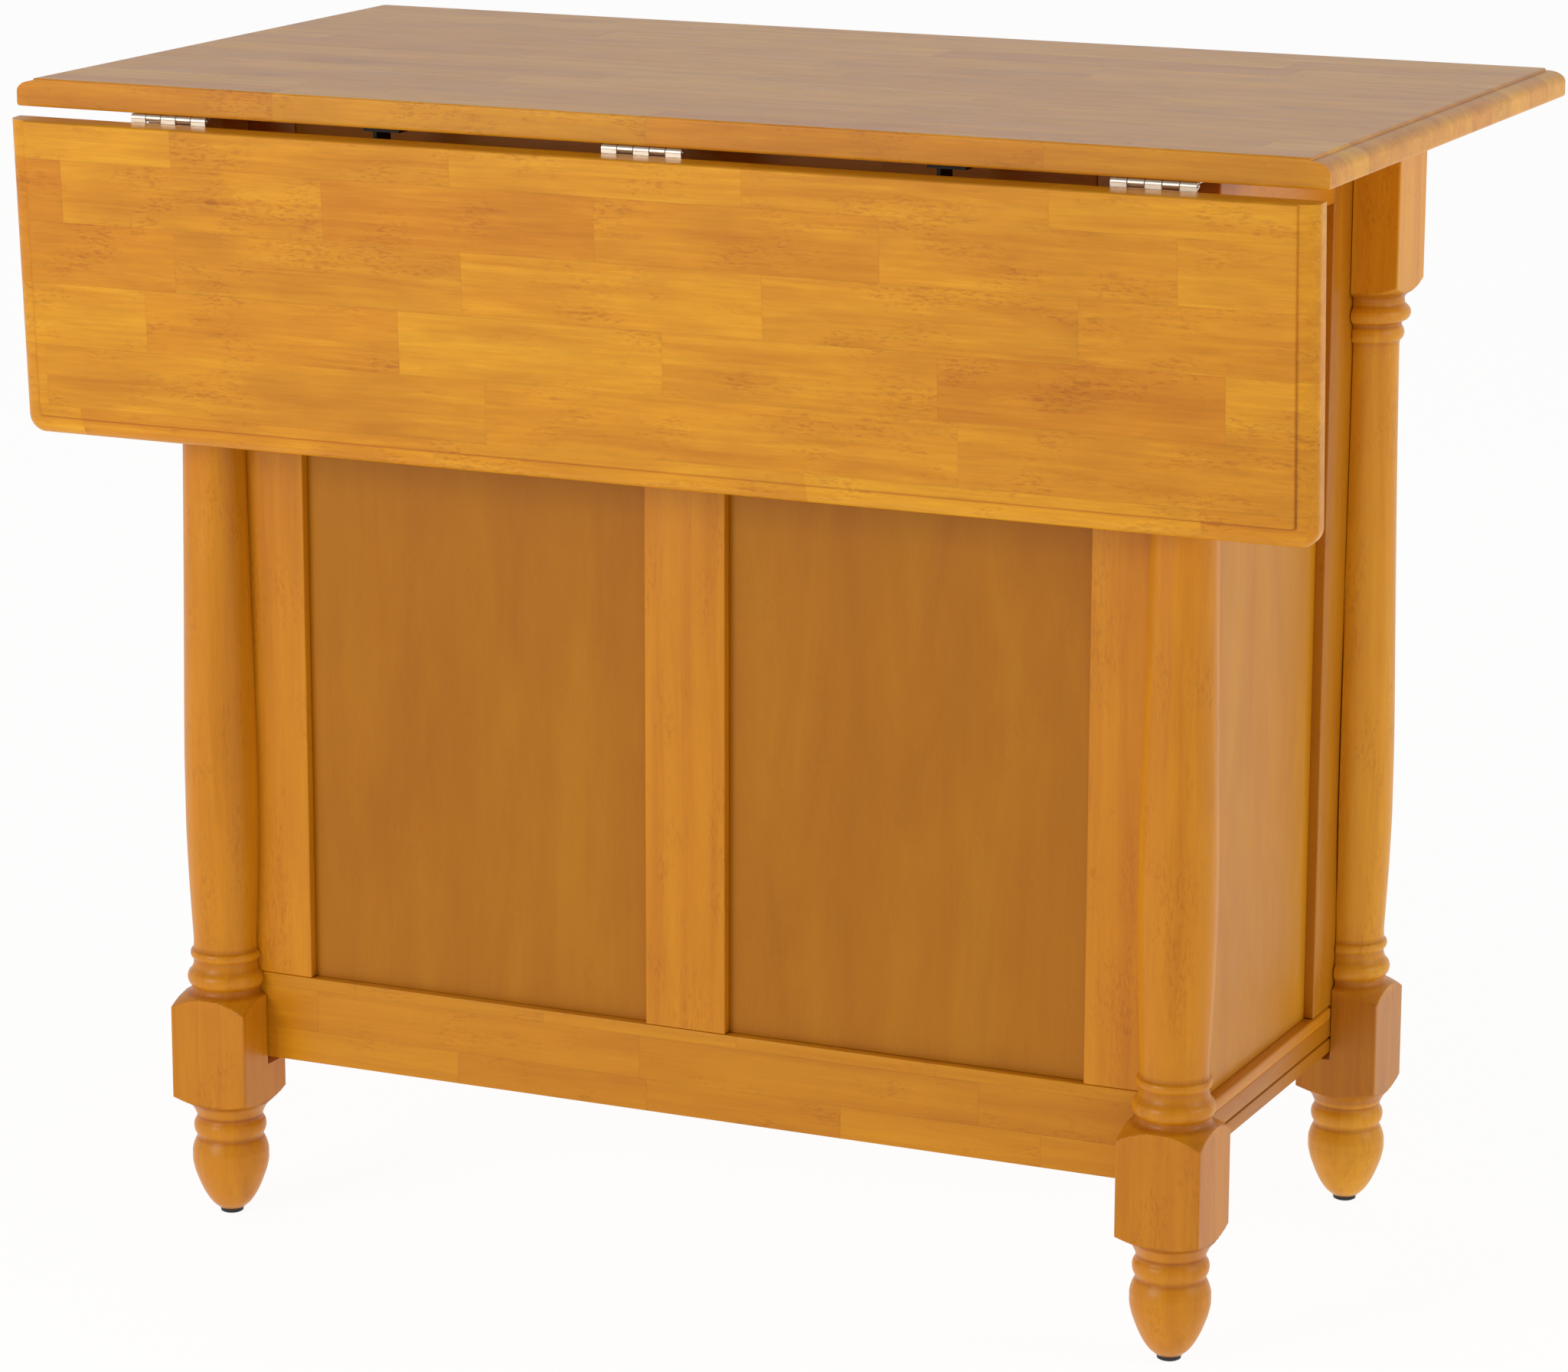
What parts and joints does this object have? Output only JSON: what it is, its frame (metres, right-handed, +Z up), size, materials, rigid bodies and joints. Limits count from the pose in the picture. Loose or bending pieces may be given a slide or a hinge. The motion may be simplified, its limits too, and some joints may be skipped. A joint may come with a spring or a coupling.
{
  "type": "drop leaf kitchen island",
  "caption": "Rectangular butcher block island cabinet on turned legs, with a hanging drop leaf, framed back and side panels, a drawer and a pair of doors.",
  "frame": {"origin": "centre of the rest-pose bounding box, at the floor", "axes": "+Z up, +X along the long side of the top, -Y towards the drop leaf, +Y towards the doors and drawer"},
  "size_m": [1.055, 0.5966, 0.914],
  "materials": {
    "butcher_block": "satin",
    "stained_hardwood": "satin",
    "stained_panel": "satin",
    "plain_inner_wood": "matt",
    "nickel_steel": "satin",
    "blackened_steel": "satin",
    "black_nylon": "matt"
  },
  "bodies": {
    "cabinet": {"butcher_block_top": "butcher_block", "leg_near_left": "stained_hardwood", "leg_near_right": "stained_hardwood", "leg_far_left": "stained_hardwood", "leg_far_right": "stained_hardwood", "back_bottom_rail": "stained_hardwood", "back_stile_left": "stained_hardwood", "back_stile_right": "stained_hardwood", "back_top_rail": "stained_hardwood", "back_centre_stile": "stained_hardwood", "side_left_bottom_rail": "stained_hardwood", "side_left_bead": "stained_hardwood", "side_left_near_stile": "stained_hardwood", "side_left_far_stile": "stained_hardwood", "side_left_top_rail": "stained_hardwood", "side_right_bottom_rail": "stained_hardwood", "side_right_bead": "stained_hardwood", "side_right_near_stile": "stained_hardwood", "side_right_far_stile": "stained_hardwood", "side_right_top_rail": "stained_hardwood", "face_bottom_rail": "stained_hardwood", "face_stile_left": "stained_hardwood", "face_stile_right": "stained_hardwood", "face_top_rail": "stained_hardwood", "face_middle_rail": "stained_hardwood", "back_panel_left": "stained_panel", "back_panel_right": "stained_panel", "side_left_panel": "stained_panel", "side_right_panel": "stained_panel", "bottom_board": "plain_inner_wood", "shelf": "plain_inner_wood", "drawer_runner_left": "plain_inner_wood", "drawer_runner_right": "plain_inner_wood", "hinge_left_fixed_plate": "nickel_steel", "hinge_middle_fixed_plate": "nickel_steel", "hinge_right_fixed_plate": "nickel_steel", "support_bracket_left": "blackened_steel", "support_bracket_right": "blackened_steel", "glide_near_left": "black_nylon", "glide_near_right": "black_nylon", "glide_far_left": "black_nylon", "glide_far_right": "black_nylon"},
    "leaf": {"drop_leaf": "butcher_block", "hinge_left_leaf_plate": "nickel_steel", "hinge_middle_leaf_plate": "nickel_steel", "hinge_right_leaf_plate": "nickel_steel", "leaf_rest_plate_left": "blackened_steel", "leaf_rest_plate_right": "blackened_steel"},
    "support_left": {"support_strut_left": "blackened_steel"},
    "support_right": {"support_strut_right": "blackened_steel"},
    "drawer": {"drawer_front": "stained_hardwood", "drawer_box": "plain_inner_wood", "drawer_knob_left": "stained_hardwood", "drawer_knob_right": "stained_hardwood"},
    "door_left": {"door_left": "stained_hardwood", "door_knob_left": "stained_hardwood"},
    "door_right": {"door_right": "stained_hardwood", "door_knob_right": "stained_hardwood"}
  },
  "joints": [
    {"name": "leaf_hinge", "type": "hinge", "parent": "cabinet", "child": "leaf", "pos_m": [0, -0.27374, 0.8892], "axis": [-1, 0, 0], "range_deg": [0, 93]},
    {"name": "support_left_pivot", "type": "hinge", "parent": "cabinet", "child": "support_left", "pos_m": [-0.2275, -0.25514, 0.8492], "axis": [-1, 0, 0], "range_deg": [0, 100.79]},
    {"name": "support_right_pivot", "type": "hinge", "parent": "cabinet", "child": "support_right", "pos_m": [0.2275, -0.25514, 0.8492], "axis": [-1, 0, 0], "range_deg": [0, 100.79]},
    {"name": "drawer_slide", "type": "slide", "parent": "cabinet", "child": "drawer", "axis": [0, 1, 0], "range_m": [0, 0.28]},
    {"name": "door_left_hinge", "type": "hinge", "parent": "cabinet", "child": "door_left", "pos_m": [-0.3465, 0.21327, 0.4625], "axis": [0, 0, 1], "range_deg": [0, 100]},
    {"name": "door_right_hinge", "type": "hinge", "parent": "cabinet", "child": "door_right", "pos_m": [0.3465, 0.21327, 0.4625], "axis": [0, 0, -1], "range_deg": [0, 100]}
  ],
  "couplings": [
    {"joint": "support_left_pivot", "follows": "leaf_hinge", "ratio": 1.0832},
    {"joint": "support_right_pivot", "follows": "leaf_hinge", "ratio": 1.0832}
  ]
}
